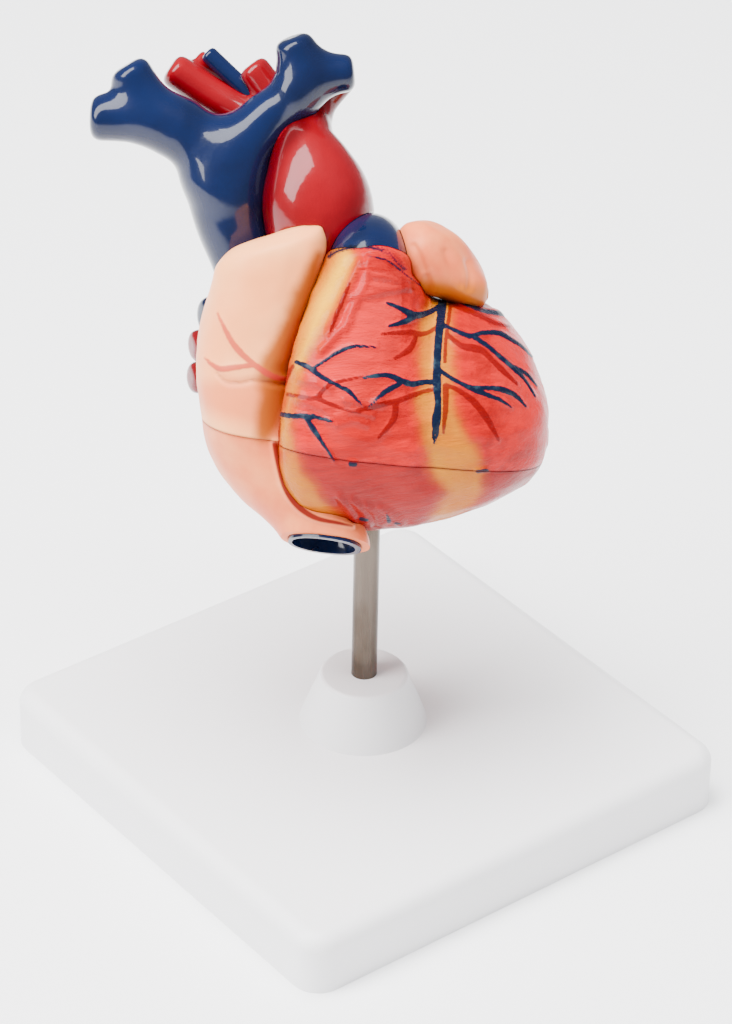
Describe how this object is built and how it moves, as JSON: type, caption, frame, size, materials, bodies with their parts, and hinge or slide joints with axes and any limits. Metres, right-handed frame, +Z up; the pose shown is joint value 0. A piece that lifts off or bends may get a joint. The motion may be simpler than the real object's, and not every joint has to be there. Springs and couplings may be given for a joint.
{
  "type": "human heart anatomy model",
  "caption": "Life-size teaching model of a human heart in two halves that part along a slanting seam, on a steel rod that turns in the socket of a square base.",
  "frame": {"origin": "middle of the base in the plane of its underside", "axes": "+Z up along the rod, X and Y along the base's sides; the picture looks along +X and +Y from above"},
  "size_m": [0.14, 0.1455, 0.2073],
  "materials": {
    "base_plastic": "satin",
    "rod_steel": "brushed, slightly worn",
    "fastener_steel": "zinc plated",
    "sleeve_plastic": "moulded",
    "muscle_red": "hand-painted satin lacquer",
    "atrium_peach": "hand-painted satin",
    "vessel_red": "high-gloss paint",
    "vessel_blue": "high-gloss paint",
    "valve_cream": "painted",
    "papillary_pink": "painted",
    "magnet_steel": "nickel plated"
  },
  "bodies": {
    "stand": {"base_plate": "base_plastic", "rod_socket": "base_plastic"},
    "rod": {"stand_rod": "rod_steel", "rod_washer": "fastener_steel", "rod_nut": "fastener_steel"},
    "heart_lower": {"rod_sleeve": "sleeve_plastic", "ventricles_lower": "muscle_red", "right_atrium_lower": "atrium_peach", "left_atrium_lower": "atrium_peach", "inferior_vena_cava": "vessel_blue", "tricuspid_valve_lower": "valve_cream", "mitral_valve_lower": "valve_cream", "papillary_muscles_lower": "papillary_pink", "magnets_lower": "magnet_steel"},
    "heart_upper": {"ventricles_upper": "muscle_red", "right_atrium_upper": "atrium_peach", "left_atrium_upper": "atrium_peach", "left_auricle": "atrium_peach", "aorta": "vessel_red", "superior_vena_cava": "vessel_blue", "small_vein": "vessel_blue", "pulmonary_trunk": "vessel_blue", "pulmonary_veins": "vessel_red", "tricuspid_valve_upper": "valve_cream", "mitral_valve_upper": "valve_cream", "aortic_valve": "valve_cream", "pulmonary_valve": "valve_cream", "papillary_muscles_upper": "papillary_pink", "magnets_upper": "magnet_steel"}
  },
  "joints": [
    {"name": "rod_turn", "type": "hinge", "parent": "stand", "child": "rod", "pos_m": [0, 0, 0.0176], "axis": [0, 0, 1], "continuous": true},
    {"name": "heart_lift", "type": "slide", "parent": "rod", "child": "heart_lower", "axis": [0, 0, 1], "range_m": [0, 0.04]},
    {"name": "upper_half_lift", "type": "slide", "parent": "heart_lower", "child": "heart_upper", "axis": [0.3037, 0.2017, 0.9312], "range_m": [0, 0.1]}
  ]
}
